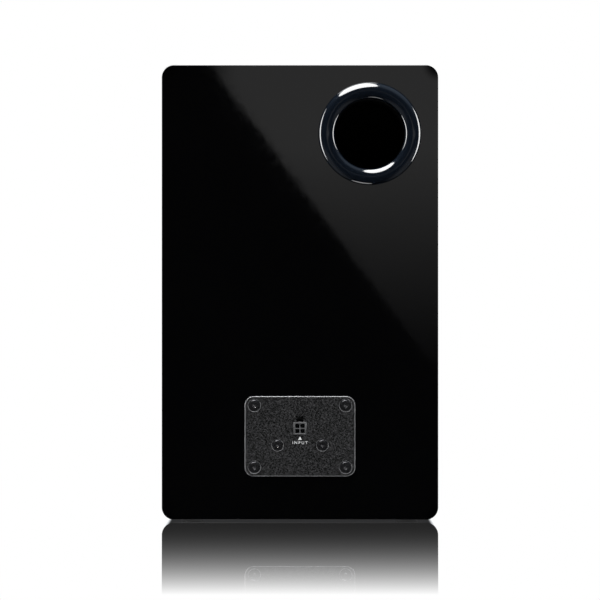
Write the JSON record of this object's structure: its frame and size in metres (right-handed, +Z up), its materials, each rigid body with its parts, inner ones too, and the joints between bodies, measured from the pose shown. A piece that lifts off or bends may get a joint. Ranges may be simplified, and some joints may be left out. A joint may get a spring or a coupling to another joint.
{
  "type": "bookshelf speaker",
  "caption": "Two-way ported bookshelf speaker: lacquered cabinet with a rear reflex port, a recessed four-way input socket and a pull-off cloth grille over woofer and tweeter.",
  "frame": {"origin": "centre of the footprint, on the surface that the foot pads stand on", "axes": "+Z up, -Y out of the front with the grille, +Y out of the rear with the port and the input socket, +X to the right seen from the front"},
  "size_m": [0.2, 0.251, 0.33],
  "materials": {
    "cabinet_lacquer": "gloss",
    "fibreboard": "matte",
    "gloss_moulding": "gloss",
    "matte_moulding": "matte",
    "socket_moulding": "satin",
    "textured_steel": "matte",
    "black_screw": "satin",
    "rubber": "matte",
    "gasket_foam": "matte",
    "tinned_contact": "satin",
    "circuit_board": "satin",
    "plated_steel": "satin",
    "ferrite": "matte",
    "cast_frame": "satin",
    "cone_pulp": "satin",
    "copper_winding": "satin",
    "spider_cloth": "matte",
    "dome_metal": "satin",
    "wadding": "matte",
    "grille_cloth": "matte",
    "cable_jacket": "satin"
  },
  "bodies": {
    "cabinet": {"top_panel": "cabinet_lacquer", "bottom_panel": "cabinet_lacquer", "left_side_panel": "cabinet_lacquer", "right_side_panel": "cabinet_lacquer", "rear_panel": "cabinet_lacquer", "front_baffle": "cabinet_lacquer", "window_brace": "fibreboard", "foot_front_left": "rubber", "foot_front_right": "rubber", "foot_rear_left": "rubber", "foot_rear_right": "rubber", "port_flare": "gloss_moulding", "port_tube": "matte_moulding", "terminal_plate": "textured_steel", "terminal_gasket": "gasket_foam", "input_socket": "socket_moulding", "connector_board": "circuit_board", "woofer_basket": "cast_frame", "woofer_top_plate": "plated_steel", "woofer_magnet": "ferrite", "woofer_yoke": "plated_steel", "woofer_spider": "spider_cloth", "woofer_surround": "rubber", "woofer_trim_ring": "rubber", "tweeter_faceplate": "matte_moulding", "tweeter_top_plate": "plated_steel", "tweeter_magnet": "ferrite", "tweeter_yoke": "plated_steel", "woofer_lead": "cable_jacket", "tweeter_lead": "cable_jacket", "damping_liner": "wadding", "contact_pin_1": "tinned_contact", "plate_screw_1": "black_screw", "woofer_screw_1": "black_screw", "tweeter_screw_1": "black_screw", "grille_cup_1": "rubber", "contact_pin_2": "tinned_contact", "plate_screw_2": "black_screw", "woofer_screw_2": "black_screw", "tweeter_screw_2": "black_screw", "grille_cup_2": "rubber", "contact_pin_3": "tinned_contact", "plate_screw_3": "black_screw", "woofer_screw_3": "black_screw", "tweeter_screw_3": "black_screw", "grille_cup_3": "rubber", "contact_pin_4": "tinned_contact", "plate_screw_4": "black_screw", "woofer_screw_4": "black_screw", "tweeter_screw_4": "black_screw", "grille_cup_4": "rubber", "socket_screw_1": "black_screw", "socket_screw_2": "black_screw"},
    "woofer_cone": {"woofer_cone": "cone_pulp", "woofer_dust_cap": "cone_pulp", "woofer_voice_coil": "copper_winding"},
    "tweeter_dome": {"tweeter_dome": "dome_metal", "tweeter_voice_coil": "copper_winding"},
    "grille": {"grille_frame": "matte_moulding", "grille_cloth": "grille_cloth"}
  },
  "joints": [
    {"name": "cone_excursion", "type": "slide", "parent": "cabinet", "child": "woofer_cone", "axis": [0, -1, 0], "range_m": [-0.005, 0.005], "stiffness_N_per_m": 1250, "deforming": ["woofer_surround", "woofer_spider"]},
    {"name": "dome_excursion", "type": "slide", "parent": "cabinet", "child": "tweeter_dome", "axis": [0, -1, 0], "range_m": [-0.0003, 0.0003], "stiffness_N_per_m": 2000},
    {"name": "grille_pull", "type": "slide", "parent": "cabinet", "child": "grille", "axis": [0, -1, 0], "range_m": [0, 0.1]}
  ]
}
